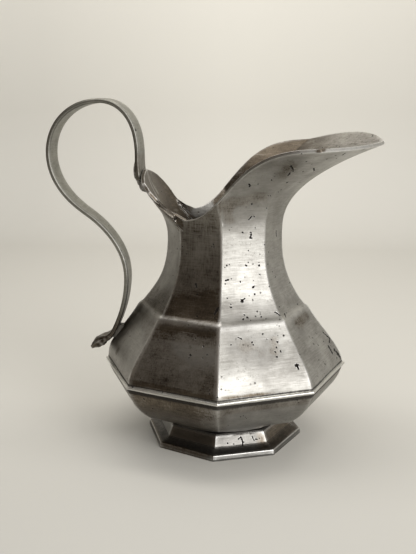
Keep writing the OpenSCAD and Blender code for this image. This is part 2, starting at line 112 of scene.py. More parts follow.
def round_corners(piece, corner, rim):
    """Round the upright corners between the flats by one width and crisper edges by another, in mm.

    A corner is a steep edge that bends by 18 to 60 degrees. The crisper edges are the others that bend by
    more than 30, and edges between two faces that look up are left alone."""
    pick(piece)
    for low, high, width in ((18, 60, corner), (30, 180, rim)):
        bpy.ops.object.mode_set(mode="EDIT")
        bpy.ops.mesh.select_mode(type="EDGE")
        bpy.ops.mesh.select_all(action="DESELECT")
        work = bmesh.from_edit_mesh(piece.data)
        for e in work.edges:
            upright = abs(e.verts[0].co.z - e.verts[1].co.z) > 0.2 * e.calc_length()
            angle = math.degrees(e.calc_face_angle(0))
            on_rim = all(f.normal.z > 0.6 for f in e.link_faces)
            wanted = (width == corner) == (upright and angle <= 60)
            e.select_set(low < angle <= high and not on_rim and wanted)
        bmesh.update_edit_mesh(piece.data)
        bpy.ops.transform.edge_bevelweight(value=width / max(corner, rim))
        bpy.ops.object.mode_set(mode="OBJECT")
    worn = piece.modifiers.new("worn corners", "BEVEL")
    worn.width = max(corner, rim) / 1000
    worn.segments = 4
    worn.limit_method = "WEIGHT"
    worn.use_clamp_overlap = False
    bpy.ops.object.modifier_apply(modifier=worn.name)


def refine(piece, longest):
    """Cut every edge longer than this many millimetres, so that a stain can end inside a flat."""
    work = bmesh.new()
    work.from_mesh(piece.data)
    for _ in range(3):
        edges = [e for e in work.edges if e.calc_length() > longest / 1000]
        bmesh.ops.subdivide_edges(work, edges=edges, cuts=1, use_grid_fill=True)
    work.to_mesh(piece.data)
    work.free()


def dent(piece, pits):
    """Sink small pits into a piece where the camera saw them: (pixel x, pixel y, radius and depth in mm).

    A pit with a second pixel is drawn out to it. The mesh is made finer round each pit first, and the
    attribute "pit" then darkens it."""
    pick(piece)
    eye = camera.location
    # In metres: the shortest edge that is still cut, and how far beyond a pit the mesh is made finer.
    shortest, margin = 0.0003, 0.0012
    seats = []
    for px, py, radius, depth, *tail in pits:
        hit, place, normal, face = piece.ray_cast(eye, pixel_ray(px, py))
        ends = piece.ray_cast(eye, pixel_ray(*tail))[:2] if tail else (hit, place)
        if hit and ends[0]:
            seats.append((place.copy(), ends[1].copy(), normal.copy(), radius / 1000, depth / 1000))
    work = bmesh.new()
    work.from_mesh(piece.data)
    for cuts, reach in ((1, 3.0), (2, 1.9)):
        work.faces.ensure_lookup_table()
        tree = KDTree(len(work.faces))
        for i, face in enumerate(work.faces):
            tree.insert(face.calc_center_median(), i)
        tree.balance()
        edges = set()
        for place, end, normal, radius, depth in seats:
            wide = (place - end).length / 2 + radius * reach + margin
            for at, i, far in tree.find_range((place + end) / 2, wide):
                edges.update(work.faces[i].edges)
        edges = [e for e in sorted(edges, key=lambda e: e.index) if e.calc_length() > shortest]
        bmesh.ops.subdivide_edges(work, edges=edges, cuts=cuts, use_grid_fill=True)
        work.edges.index_update()
    work.verts.ensure_lookup_table()
    tree = KDTree(len(work.verts))
    for i, vert in enumerate(work.verts):
        tree.insert(vert.co, i)
    tree.balance()
    layer = work.verts.layers.float.new("pit")
    for place, end, normal, radius, depth in seats:
        way = end - place
        for at, i, far in tree.find_range((place + end) / 2, way.length / 2 + radius * 2.2):
            along = max(0, min(1, (at - place).dot(way) / max(1e-12, way.length_squared)))
            rough = max(radius * 0.5, radius * (0.95 + 0.8 * noise.noise(at * 1300)))
            far = (at - place - way * along).length
            work.verts[i].co -= normal * depth * max(0, min(1, (1 - far / rough) * 1.6))
            work.verts[i][layer] = max(work.verts[i][layer], max(0, min(1, (1.25 - far / rough) * 4)))
    work.to_mesh(piece.data)
    work.free()


def age(piece, grime=lambda p: 0, film_and_shade=lambda p: 0, rubbed_and_highlit=lambda p: 0, reach=1.0, waves=0.0, grain=38):
    """Mark convex edges "worn", hollows and given places "grime", and the broad brown film, together with
    the painted shade that it also carries, in a third attribute.

    Waves are the height in mm of the unevenness that is given to the surface first."""
    mesh = piece.data
    count = len(mesh.vertices)
    place, normal = np.empty(count * 3), np.empty(count * 3)
    mesh.vertices.foreach_get("co", place)
    mesh.vertices.foreach_get("normal", normal)
    place, normal = place.reshape(-1, 3), normal.reshape(-1, 3)
    if waves:
        place += normal * np.array([[noise.noise(p * grain) * waves / 1000] for p in map(Vector, place)])
        mesh.vertices.foreach_set("co", place.ravel())
        mesh.update()
    ends = np.empty(len(mesh.edges) * 2, int)
    mesh.edges.foreach_get("vertices", ends)
    a, b = ends.reshape(-1, 2).T
    way = place[b] - place[a]
    way /= np.maximum(1e-9, np.linalg.norm(way, axis=1))[:, None]
    links = np.maximum(1, np.bincount(a, minlength=count) + np.bincount(b, minlength=count))
    bend = np.bincount(b, (way * normal[b]).sum(1), count) - np.bincount(a, (way * normal[a]).sum(1), count)
    bend /= links
    for _ in range(2):
        bend = 0.5 * bend + 0.5 * (np.bincount(a, bend[b], count) + np.bincount(b, bend[a], count)) / links
    worn = mesh.attributes.new("worn", "FLOAT", "POINT")
    given = np.array([rubbed_and_highlit(p) for p in map(Vector, place * 1000)])
    worn.data.foreach_set("value", np.clip(np.clip(bend * 10 * reach - 0.08, 0, 1) + given, 0, 1))
    dark = mesh.attributes.new("grime", "FLOAT", "POINT")
    given = np.array([grime(p) for p in map(Vector, place * 1000)])
    dark.data.foreach_set("value", np.clip(np.clip(-bend * 7 * reach - 0.1, 0, 1) + given, 0, 1))
    patina_and_shade = mesh.attributes.new("patina_and_shade", "FLOAT", "POINT")
    patina_and_shade.data.foreach_set("value", [film_and_shade(p) for p in map(Vector, place * 1000)])


def stain(piece, strokes):
    """Rub film on, or off, in strokes the camera saw: (pixel x, y to x, y, half width in mm, change)."""
    mesh = piece.data
    count = len(mesh.vertices)
    place, facing, patina_and_shade = np.empty(count * 3), np.empty(count * 3), np.empty(count)
    mesh.vertices.foreach_get("co", place)
    mesh.vertices.foreach_get("normal", facing)
    mesh.attributes["patina_and_shade"].data.foreach_get("value", patina_and_shade)
    worn = np.empty(count)
    mesh.attributes["worn"].data.foreach_get("value", worn)
    place, facing = place.reshape(-1, 3), facing.reshape(-1, 3)
    for x0, y0, x1, y1, width, change in strokes:
        hit, start, normal, face = piece.ray_cast(camera.location, pixel_ray(x0, y0))
        met, end, slope, face = piece.ray_cast(camera.location, pixel_ray(x1, y1))
        if not (hit and met):
            continue
        way = np.array(end - start)
        along = np.clip((place - np.array(start)) @ way / max(1e-12, way @ way), 0, 1)
        far = np.linalg.norm(place - np.array(start) - along[:, None] * way, axis=1) * 1000
        near = np.nonzero((far < width * 1.6) & (facing @ np.array(normal + slope) > 0.5))[0]
        spots = [Vector(place[i]) for i in near]
        rough = np.array([noise.noise(p * 160) + 0.6 * noise.noise(p * 430) for p in spots])
        share = np.clip(1.3 - far[near] / (width * (1 + 0.45 * rough)), 0, 1)
        patina_and_shade[near] = np.clip(patina_and_shade[near] + change * share, 0, 1)
        worn[near] *= 1 - max(0, change) * share
    mesh.attributes["patina_and_shade"].data.foreach_set("value", patina_and_shade)
    mesh.attributes["worn"].data.foreach_set("value", worn)


def film_and_shade_inside(piece, share):
    """Add film to every place that the middle of the pitcher sees: the inside is never polished, and the
    film there is also painted shade.
    """
    patina_and_shade = piece.data.attributes["patina_and_shade"].data
    values = np.empty(len(patina_and_shade))
    patina_and_shade.foreach_get("value", values)
    for i, place in enumerate([v.co.copy() for v in piece.data.vertices]):
        middle = Vector((max(0, place.x) * 0.45, 0, place.z + 0.004))
        way = place - middle
        if not piece.ray_cast(middle, way.normalized(), distance=way.length - 0.0009)[0]:
            values[i] = max(values[i], share)
    patina_and_shade.foreach_set("value", values)


def band(value, low, high, soft):
    """1 between low and high, fading over a soft width on both sides."""
    return max(0.0, min(1.0, (value - low) / soft + 1, (high - value) / soft + 1))


def finish_piece(piece, node, angle=28):
    """Shade smooth up to the sharp edges; the piece then stands for its casting, and rides on the body."""
    pick(piece)
    bpy.ops.object.shade_smooth_by_angle(angle=math.radians(angle))
    level = piece.modifiers.new("flat faces", "WEIGHTED_NORMAL")
    level.keep_sharp = True
    bpy.ops.object.modifier_apply(modifier=level.name)
    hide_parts(node)
    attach(piece, "root")


class Shades:
    """A node tree that is filled in by name: each call adds one node and joins what it is given."""

    def __init__(self, name):
        self.material = bpy.data.materials.new(name)
        self.material.use_nodes = True
        self.tree = self.material.node_tree
        self.tree.nodes.clear()

    def add(self, kind, inputs=(), out=0, **settings):
        node = self.tree.nodes.new("ShaderNode" + kind)
        for key, value in settings.items():
            setattr(node, key, value)
        for key, value in dict(inputs).items():
            if isinstance(value, bpy.types.NodeSocket):
                self.tree.links.new(value, node.inputs[key])
            else:
                node.inputs[key].default_value = value
        return node.outputs[out] if out is not None else node

    def math(self, operation, a, b=0.0, clamp=False):
        return self.add("Math", {0: a, 1: b}, operation=operation, use_clamp=clamp)

    def ramp(self, value, low, high):
        return self.add("MapRange", {"Value": value, "From Min": low, "From Max": high})

    def grain(self, place, scale, detail=3.0, rough=0.55, stretch=(1, 1, 1), turn=(0, 0, 0)):
        at = self.add("Mapping", {"Vector": place, "Scale": stretch, "Rotation": turn})
        return self.add("TexNoise", {"Vector": at, "Scale": scale, "Detail": detail, "Roughness": rough})

    def blend(self, share, a, b):
        node = self.add("Mix", (), out=None, data_type="RGBA")
        for socket, value in ((node.inputs[0], share), (node.inputs[6], a), (node.inputs[7], b)):
            if isinstance(value, bpy.types.NodeSocket):
                self.tree.links.new(value, socket)
            else:
                socket.default_value = value
        return node.outputs[2]


def pewter(name, dark, light, rough, brush=1.0, stain=0.5, rough_cast=0.0):
    """Old cast pewter: cloudy grey with fine level brushing, dark grime in its hollows and bright edges."""
    s = Shades(name)
    shine = 0.62
    bright = (shine, shine * 0.985, shine * 0.95, 1)
    place = s.add("TexCoord", out=3)
    cloud = s.grain(place, 26, 5, 0.62)
    fleck = s.grain(place, 420, 4, 0.7)
    lines = s.grain(place, 60, 4, 0.75, stretch=(1.7, 1.7, 24))
    upright = s.grain(place, 60, 3, 0.7, stretch=(20, 20, 1.5))
    broad = s.grain(place, 110, 4, 0.6, stretch=(0.7, 0.7, 1))
    slant = s.grain(place, 55, 3, 0.7, stretch=(0.6, 0.6, 22), turn=(0.5, 0.35, 0.2))
    worn = s.add("Attribute", out=2, attribute_name="worn")
    grime = s.add("Attribute", out=2, attribute_name="grime")
    pit = s.add("Attribute", out=2, attribute_name="pit")
    patina_and_shade = s.add("Attribute", out=2, attribute_name="patina_and_shade")
    tone = s.math("ADD", s.math("MULTIPLY", cloud, 0.42), s.math("MULTIPLY", lines, 0.36))
    tone = s.math("ADD", tone, s.math("MULTIPLY", broad, 0.25))
    tone = s.math("ADD", tone, s.math("MULTIPLY", upright, 0.12))
    tone = s.ramp(tone, 0.46, 0.70)
    colour = s.blend(tone, (*dark, 1), (*light, 1))
    spots = s.math("MULTIPLY", s.ramp(fleck, 0.56, 0.70), s.ramp(cloud, 0.42, 0.62))
    colour = s.blend(s.math("MULTIPLY", spots, stain), colour, (0.10, 0.092, 0.08, 1))
    mottle = s.math("ADD", s.math("MULTIPLY", lines, 0.45), s.math("MULTIPLY", upright, 0.35))
    mottle = s.math("ADD", mottle, s.math("MULTIPLY", s.grain(place, 75, 5, 0.7), 0.45))
    # The brown film follows its attribute, which holds real film and painted shade alike.
    film_and_shade = s.math("MULTIPLY", s.ramp(mottle, 0.50, 0.76), 1.5)
    film_and_shade = s.math("ADD", film_and_shade, s.math("MULTIPLY", patina_and_shade, 0.9))
    film_and_shade = s.math("MULTIPLY", film_and_shade, patina_and_shade, clamp=True)
    brown = s.blend(s.ramp(mottle, 0.46, 0.76), (0.170, 0.142, 0.108, 1), (0.052, 0.041, 0.030, 1))
    brown = s.blend(s.ramp(patina_and_shade, 0.33, 0.42), (0.125, 0.120, 0.112, 1), brown)
    colour = s.blend(film_and_shade, colour, brown)
    scratch = s.math("MULTIPLY", s.ramp(slant, 0.66, 0.72), s.ramp(cloud, 0.35, 0.6))
    colour = s.blend(s.math("MULTIPLY", scratch, 0.35), colour, bright)
    edge = s.math("MULTIPLY", worn, s.ramp(fleck, 0.25, 0.5), clamp=True)
    colour = s.blend(edge, colour, bright)
    grit = s.math("MULTIPLY", s.math("SUBTRACT", fleck, 0.5), 0.8)
    soot = s.math("MULTIPLY", s.ramp(s.math("ADD", grime, grit), 0.25, 0.8), 0.92)
    colour = s.blend(soot, colour, (0.045, 0.041, 0.037, 1))
    cell = s.add("TexVoronoi", {"Vector": place, "Scale": 420.0}, out=None)
    chance = s.add("SeparateColor", {"Color": cell.outputs["Color"]})
    crowd = s.math("ADD", cloud, s.math("MULTIPLY", broad, 0.5))
    small = s.math("MULTIPLY", s.ramp(chance, 0.9, 0.93), s.ramp(crowd, 0.72, 0.86))
    small = s.math("MULTIPLY", small, s.ramp(cell.outputs["Distance"], 0.30, 0.20))
    pit = s.math("MAXIMUM", pit, small)
    colour = s.blend(s.math("MULTIPLY", pit, 0.95, clamp=True), colour, (0.025, 0.022, 0.02, 1))
    dull = s.math("ADD", s.math("MULTIPLY", tone, -0.10), rough + 0.05)
    dull = s.math("ADD", dull, s.math("MULTIPLY", s.math("MAXIMUM", soot, pit), 0.3))
    dull = s.math("SUBTRACT", dull, s.math("MULTIPLY", edge, 0.08), clamp=True)
    height = s.math("MULTIPLY", lines, 0.5 * brush)
    height = s.math("ADD", height, s.math("MULTIPLY", fleck, 0.25 + rough_cast))
    height = s.math("ADD", height, s.math("MULTIPLY", slant, 0.2 * brush))
    height = s.math("SUBTRACT", height, s.math("MULTIPLY", small, 2.0))
    skin = s.add("Bump", {"Height": height, "Distance": 0.00012, "Strength": 0.55})
    swell = s.grain(place, 55, 2, 0.4)
    wave = s.add("Bump", {"Height": swell, "Distance": 0.0009, "Strength": 0.5, "Normal": skin})
    metal = s.add("BsdfPrincipled",
                  {"Base Color": colour, "Metallic": 1.0, "Roughness": dull, "Normal": wave})
    s.add("OutputMaterial", {"Surface": metal}, out=None)
    return s.material


# Pits on the near half, read off the picture: most sit on the bright flat and beside the keel of the spout.
body_pits = [
    (249.3, 184.3, 0.55, 0.3, 249.9, 186.2), (251.9, 204.0, 0.7, 0.3),
    (248.7, 220.0, 0.5, 0.3, 251.4, 216.7), (254.2, 216.7, 0.4, 0.2), (242.7, 232.7, 0.5, 0.3),
    (250.8, 232.9, 0.5, 0.35, 251.4, 234.4), (251.4, 234.4, 0.5, 0.35, 250.2, 237.0),
    (249.6, 238.2, 0.45, 0.3, 251.8, 238.1), (255.3, 227.8, 0.3, 0.2), (231.3, 227.3, 0.3, 0.2),
    (264.6, 244.6, 0.45, 0.3), (248.3, 250.6, 0.35, 0.2), (260.0, 254.2, 0.35, 0.2),
    (276.3, 231.0, 0.6, 0.3, 276.4, 236.0), (271.7, 180.0, 0.5, 0.3),
    (290.8, 165.8, 0.6, 0.35, 292.9, 169.8), (293.3, 171.3, 0.6, 0.35),
    (290.4, 172.5, 0.6, 0.3, 288.3, 175.4), (303.3, 171.3, 0.6, 0.3),
    (313.8, 168.3, 0.5, 0.3, 314.2, 170.8), (287.3, 182.3, 0.6, 0.3), (280.8, 190.0, 0.5, 0.3),
    (278.3, 192.1, 0.3, 0.2), (300.0, 182.3, 0.45, 0.3), (303.8, 185.4, 0.6, 0.3),
    (268.3, 195.8, 0.35, 0.2), (270.4, 195.8, 0.35, 0.2), (266.7, 208.3, 0.35, 0.2),
    (306.3, 161.7, 0.5, 0.3), (246.3, 265.8, 0.7, 0.35), (248.3, 262.7, 0.4, 0.2),
    (259.4, 265.6, 0.7, 0.35), (259.2, 262.7, 0.4, 0.2), (259.6, 274.3, 0.55, 0.3),
    (226.7, 265.7, 0.5, 0.25), (224.8, 267.7, 0.35, 0.2), (229.3, 264.8, 0.3, 0.2),
    (225.7, 280.4, 0.5, 0.3, 228.3, 279.8), (231.3, 278.6, 0.35, 0.2), (225.2, 283.9, 0.35, 0.2),
    (240.4, 281.9, 0.5, 0.25), (253.6, 280.5, 0.35, 0.2), (253.2, 286.7, 0.8, 0.4),
    (254.6, 294.2, 0.55, 0.3), (252.8, 299.8, 0.4, 0.2), (242.3, 300.6, 1.0, 0.5),
    (243.0, 300.0, 0.4, 0.3, 244.8, 298.7), (230.8, 304.3, 0.4, 0.25), (230.8, 307.3, 0.6, 0.3),
    (227.3, 298.1, 0.4, 0.2), (249.2, 295.6, 0.3, 0.2), (257.1, 311.4, 0.55, 0.3),
    (260.0, 312.1, 0.3, 0.2), (244.3, 314.8, 0.5, 0.3), (247.1, 317.3, 0.65, 0.3),
    (243.3, 318.8, 0.6, 0.3), (255.6, 316.4, 0.5, 0.3), (261.3, 316.7, 0.5, 0.3),
    (250.8, 320.4, 0.35, 0.2), (265.8, 318.8, 0.35, 0.2), (275.0, 312.1, 0.4, 0.3, 276.7, 312.9),
    (277.5, 313.8, 0.4, 0.3, 279.6, 315.2), (284.6, 313.3, 0.55, 0.35, 285.6, 316.6),
    (286.6, 313.0, 0.4, 0.2), (276.7, 325.0, 0.3, 0.15), (277.9, 335.4, 0.35, 0.2),
    (277.3, 341.7, 0.65, 0.3), (276.7, 347.5, 0.5, 0.2), (275.2, 351.8, 0.5, 0.3),
    (280.6, 351.3, 0.6, 0.3), (276.9, 357.1, 0.65, 0.3), (262.5, 334.0, 0.5, 0.3),
    (238.2, 337.5, 0.35, 0.2, 241.7, 338.9), (252.3, 342.3, 0.55, 0.3), (253.2, 344.8, 0.4, 0.2),
    (231.3, 344.6, 0.5, 0.25), (266.8, 339.2, 0.35, 0.2), (296.9, 365.2, 1.1, 0.6),
    (297.6, 366.6, 0.6, 0.4, 298.4, 368.8), (300.0, 354.3, 0.4, 0.2), (297.3, 304.0, 0.6, 0.3),
    (275.4, 277.1, 0.5, 0.3), (272.5, 271.7, 0.4, 0.2), (267.9, 264.3, 0.5, 0.25),
    (269.2, 286.5, 0.35, 0.2), (279.3, 306.8, 0.5, 0.2), (323.6, 332.9, 0.8, 0.15),
    (325.2, 334.4, 0.6, 0.15, 327.9, 336.8), (329.6, 338.3, 0.8, 0.15, 329.6, 342.5),
    (328.6, 346.4, 0.9, 0.15, 332.1, 352.9), (334.6, 350.0, 1.2, 0.2),
    (336.6, 352.4, 1.1, 0.15, 340.2, 357.4), (330.7, 345.7, 0.4, 0.1), (337.0, 357.6, 0.5, 0.1),
    (323.6, 341.4, 0.45, 0.1), (313.6, 343.9, 0.55, 0.1), (318.2, 345.0, 0.5, 0.1),
    (325.0, 363.9, 0.55, 0.1), (316.0, 333.2, 0.4, 0.1), (318.9, 360.0, 0.35, 0.1),
    (195.6, 283.6, 0.5, 0.08, 196.6, 287.4), (197.2, 294.5, 0.45, 0.08),
    (217.6, 308.6, 0.8, 0.1, 215.6, 312.6), (214.6, 314.0, 0.6, 0.1), (214.5, 318.0, 0.4, 0.08),
    (213.5, 244.5, 0.5, 0.1), (212.0, 246.6, 0.4, 0.08), (190.4, 355.2, 0.7, 0.1),
    (189.0, 358.0, 0.4, 0.08), (158.0, 340.0, 0.45, 0.08), (174.0, 340.0, 0.35, 0.08),
    (342.7, 155.0, 0.5, 0.1, 345.0, 153.2), (345.5, 158.9, 0.5, 0.1), (336.4, 158.4, 0.5, 0.1),
    (335.7, 155.5, 0.5, 0.1), (326.8, 159.1, 0.5, 0.1), (350.5, 155.0, 0.35, 0.1),
    (361.4, 153.4, 0.45, 0.1), (364.1, 149.3, 0.6, 0.1), (381.4, 146.4, 0.35, 0.1),
    (324.5, 168.2, 0.35, 0.1), (311.8, 164.1, 0.4, 0.1), (182.0, 246.5, 0.35, 0.15),
    # The last entry has no depth: it is a painted dark spot that puts out a highlight on the rear lip.
    (186.5, 254.0, 0.3, 0.15), (175.0, 218.8, 0.8, 0.0),
]

# The same on the far half, where the camera sees it over the near rim.
far_pits = [
    (372.7, 135.7, 0.7, 0.4), (322.3, 147.7, 0.6, 0.3), (339.5, 146.8, 0.5, 0.3),
    (346.0, 149.0, 0.3, 0.2, 352.0, 148.0),
]

# Film seen on the near half, partly painted shade: blotches over and under the crest, and the flats nearer
# the handle. The same strokes also fall on the far half, where it lies behind them.
body_stains_and_shade = [
    (188, 313, 212, 302, 6, 0.45), (184, 300, 206, 296, 5, 0.25), (163, 327, 212, 332, 2.6, 0.45),
    (141, 306, 113, 339, 3.5, 0.6), (133, 326, 136, 350, 7, -0.5), (147, 291, 160, 279, 3, 0.35),
    (117, 351, 118, 350, 2.5, 0.5), (296, 323, 307, 315, 4, 0.5), (300, 330, 303, 326, 5, 0.25),
    # The strokes at pixel y 164 to 176, under the spout's rim, are painted shade.
    (322, 383, 344, 360, 1.8, 0.7), (288, 303, 296, 300, 4, 0.25), (290, 168, 284, 176, 5, 0.2),
    (276, 164, 296, 164, 8, 0.14), (236, 203, 262, 196, 6, 0.2), (224, 205, 230, 220, 5, 0.25),
    (242, 305, 268, 307, 4, 0.10), (225, 318, 268, 318, 2.5, 0.12), (236, 341, 270, 343, 9, 0.21),
    (244, 354, 262, 362, 8, 0.16), (230, 378, 250, 383, 6, 0.18), (275, 340, 276, 352, 4, 0.15),
    (256, 160, 296, 146, 9, 0.85), (184, 346, 208, 358, 11, -0.22), (204, 386, 214, 374, 8, 0.1),
    # The strokes at pixel x 160 to 191 and y 196 to 224, on the rear lip, are painted shade that dims its
    # highlights.
    (196, 213, 210, 206, 3, -0.9), (319, 152, 323, 149, 1.6, 0.9), (173, 214, 178, 224, 3, 0.9),
    (160, 196, 173, 214, 2.5, 0.5), (176, 205, 185, 217, 3, 0.9), (182, 215, 191, 219, 3, 0.5),
    (150, 178, 158, 193, 2.2, -0.5), (157, 182, 167, 200, 1.5, 0.3), (222, 398.5, 262, 394, 0.9, 0.9),
    (262, 394, 314, 388.5, 0.8, 0.7), (130, 383, 219, 400, 2.2, 0.5),
]
body_pewter = pewter("body_pewter", (0.22, 0.21, 0.19), (0.46, 0.45, 0.42), rough=0.47)


# Heights on the body in mm: over the belt, under the crest, the crest itself, over it, and the rim.
OVER_BELT = (50, 54)
UNDER_CREST = (78, 84)
CREST = (86.2, 89.0)
OVER_CREST = (91, 99)
RIM = (150, 190)


def body_grime(p):
    """Grime lies over the belt."""
    return 0.9 * band(p.z, 49, 50.8, 0.9)


def body_film_and_shade(p):
    """The brown film lies thickest on both sides of the crest, over the belt and up under the rim. It is
    also painted shade: more of it lies on the flats turned away from the window, and on the rear lip's outer
    face, where it dims highlights.
    """
    turn = math.degrees(math.atan2(-abs(p.y), p.x))
    # Painted shade: the flats turned away from the window, towards the handle, get extra film.
    shaded_flats = max(band(turn, -134.6, -91.0, 0.8), 0.75 * band(turn, -181, -135.8, 0.8))
    spared = max(0, min(1, (62 - p.x) / 22))
    # The first term is painted shade on the rear lip's outer face, which dims its highlights.
    return max(0.85 * max(0, min(1, -p.x / 8 - 2)) * band(p.z, 150, 180, 8),
               (0.12 + 0.7 * shaded_flats) * band(p.z, *OVER_CREST, 9),
               (0.1 + 0.55 * shaded_flats) * band(p.z, *UNDER_CREST, 5),
               (0.1 + 0.45 * shaded_flats) * band(p.z, *OVER_BELT, 6),
               0.24 * spared * band(p.z, *RIM, 16), 0.1 + 0.40 * shaded_flats)


def body_rubbed_and_highlit(p):
    """The crest stands out and is rubbed bright, and so are the darker corners and the lip. The flat next to
    the handle gets a painted highlight over the shoulder and up the neck.
    """
    turn = math.degrees(math.atan2(p.y, p.x))
    corner = max(band(turn, -135.7, -134.6, 0.8), 0.7 * band(turn, -90.9, -90.1, 0.7))
    lip = max(0, min(1, (p.x - 60) / 15)) * band(p.z, 150, 200, 10)
    # Painted highlight: the flat next to the handle is brightened over the shoulder and up the neck.
    lit = band(turn, -180, -136, 1)
    return max(0.3 * band(p.z, *CREST, 1.4), 0.7 * corner * band(p.z, 52, 140, 10), 0.35 * lip,
               0.3 * lit * band(p.z, 54, 82, 6), 0.15 * lit * band(p.z, 95, 150, 10))


for node in ("upper_body_right", "upper_body_left"):
    half = casting(node, node.replace("upper_body", "body"), edge=0)
    round_corners(half, 0.8, 0.3)
    refine(half, 2.4)
    dent(half, body_pits if node == "upper_body_right" else far_pits)
    age(half, body_grime, body_film_and_shade, body_rubbed_and_highlit, waves=0.12)
    # Film and painted shade over the whole inside.
    film_and_shade_inside(half, 0.66)
    stain(half, body_stains_and_shade)
    half.data.materials.append(body_pewter)
    finish_piece(half, node)


# Pewter solder along the spout's keel and down the back, filed flush with the halves and pitted by the flux.
seam_pewter = pewter("seam_pewter", (0.22, 0.21, 0.19), (0.45, 0.44, 0.41), rough=0.42)
for node in ("spout_seam", "rear_seam"):
    seam = casting(node, node.replace("_seam", "_keel_solder"), edge=0.15)
    age(seam, body_grime, body_film_and_shade, body_rubbed_and_highlit)
    seam.data.materials.append(seam_pewter)
    finish_piece(seam, node)


# The shallow lower bowl: cast in one, eight-sided, and brushed like the body above it.
bowl_pits = [
    (240.7, 416.7, 0.35, 0.15), (243.3, 415.8, 0.35, 0.15), (245.2, 417.2, 0.45, 0.2),
    (246.4, 418.4, 0.35, 0.15), (225.3, 423.9, 0.25, 0.1), (228.3, 425.2, 0.3, 0.1), (297, 400, 0.5, 0.2),
]


def bowl_grime(p):
    """Grime lies under the belt and where the bowl meets the foot."""
    return 0.9 * band(p.z, 45.6, 47.6, 1.2) + 0.6 * band(p.z, 13, 14.5, 1.5)


def bowl_film_and_shade(p):
    """The film, partly painted shade, thickens towards the handle, away from the window."""
    return max(0.45 * band(p.z, 42, 48, 6), 0.28 + 0.65 * max(0, min(1, -p.x / 30 + 0.3)))


bowl = casting("lower_bowl", "bowl")
refine(bowl, 2.4)
dent(bowl, bowl_pits)
age(bowl, bowl_grime, bowl_film_and_shade, waves=0.1)
bowl.data.materials.append(pewter("bowl_pewter", (0.20, 0.19, 0.18), (0.42, 0.41, 0.38), rough=0.42))
finish_piece(bowl, "lower_bowl")


# The half-round belt, cast as a ring and soldered over the joint. Its crown is worn bright.
belt = casting("belt_moulding", "belt", edge=0.3, crease=30)
age(belt)
belt_pewter = pewter("belt_pewter", (0.42, 0.41, 0.38), (0.64, 0.63, 0.59), rough=0.44, stain=0.4)
belt.data.materials.append(belt_pewter)
finish_piece(belt, "belt_moulding")

# The solder at the joints of the castings keeps its own shape and only gets a dull, rough pewter.
solder = pewter("solder", (0.10, 0.097, 0.09), (0.24, 0.23, 0.21), rough=0.55, rough_cast=0.6)
for node in ("belt_solder", "foot_solder", "handle_top_solder", "handle_low_solder"):
    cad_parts[node].data.materials.clear()
    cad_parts[node].data.materials.append(solder)


# The splayed foot: a cast octagonal ring with a hollow moulding, which holds the darkest grime of all.
foot_pits = [
    (227.6, 443.1, 0.5, 0.3), (233.7, 444.1, 0.35, 0.2), (238.3, 439.0, 0.35, 0.2, 240.8, 436.9),
    (240.8, 436.9, 0.4, 0.2, 242.9, 442.6), (242.9, 442.6, 0.5, 0.25, 242.3, 445.6),
    (244.4, 442.0, 0.3, 0.2), (252.0, 436.4, 0.3, 0.2, 254.1, 440.5), (259.2, 438.5, 0.35, 0.2),
    (255.1, 439.0, 0.4, 0.2, 257.1, 439.5), (240.4, 446.2, 0.25, 0.15), (236.0, 445.8, 0.25, 0.15),
]


def foot_grime(p):
    """Grime lies along the table, on the ledge and under the bowl."""
    ledge, under_bowl = band(p.z, 4.2, 6.5, 0.8), band(p.z, 12.2, 14, 0.8)
    return 0.5 * ledge + 0.5 * under_bowl + 0.4 * band(p.z, 0, 0.8, 0.5)


def foot_film_and_shade(p):
    """Film and painted shade: the moulding is darkest towards the spout, and the strip below it towards the
    handle.
    """
    moulding = band(p.z, 4.2, 14, 0.5) * (0.35 + 0.65 * max(0, min(1, (p.x - 22) / 10)))
    return moulding + 0.6 * band(p.z, 0, 3.8, 0.5) * max(0, min(1, -p.x / 12))


foot = casting("foot", "splayed_foot", edge=0.35, smooth=False)
refine(foot, 2.4)
dent(foot, foot_pits)
age(foot, foot_grime, foot_film_and_shade, reach=0.8)
foot.data.materials.append(pewter("foot_pewter", (0.09, 0.087, 0.080), (0.24, 0.235, 0.22), rough=0.36))
finish_piece(foot, "foot")


# The strap handle: one bevelled strip of pewter, bent to its loop and worn smooth by hands. Its lower end is
# a lumpy bud, and one pit is seen near the top of the inner leg.
strap_pits = [(136, 130, 0.9, 0.4)]
BUD_TOP = 0.066
BUD_LUMPS = 0.0008


def strap_grime(p):
    """Grime lies on the bud."""
    return 0.3 * band(p.z, 50, 64, 4)


def strap_film(p):
    """The film lies round the bud and where the strap meets the rear lip."""
    return max(0.85 * band(p.z, 50, 70, 28), 0.5 * band(p.z, 165, 184, 8) * (p.x > -70))


strap = casting("handle_strap", "strap", edge=0.3, crease=35)
dent(strap, strap_pits)
for v in strap.data.vertices:
    if v.co.z < BUD_TOP:
        v.co += v.normal * noise.noise(v.co * 350) * BUD_LUMPS
age(strap, strap_grime, strap_film, waves=0.06, reach=0.5)
strap_pewter = pewter("strap_pewter", (0.165, 0.160, 0.138), (0.335, 0.33, 0.288), rough=0.48, brush=0.5)
strap.data.materials.append(strap_pewter)
finish_piece(strap, "handle_strap")


# The rough tongue behind the rear lip, which laps over the end of the strap.
tongue = casting("handle_tongue", "tongue", levels=3, edge=0.2, crease=50)
age(tongue, lambda p: 0.35, waves=0.4, grain=600)
tongue_pewter = pewter("tongue_pewter", (0.13, 0.12, 0.11), (0.36, 0.34, 0.32), rough=0.5, rough_cast=0.8)
tongue.data.materials.append(tongue_pewter)
finish_piece(tongue, "handle_tongue")


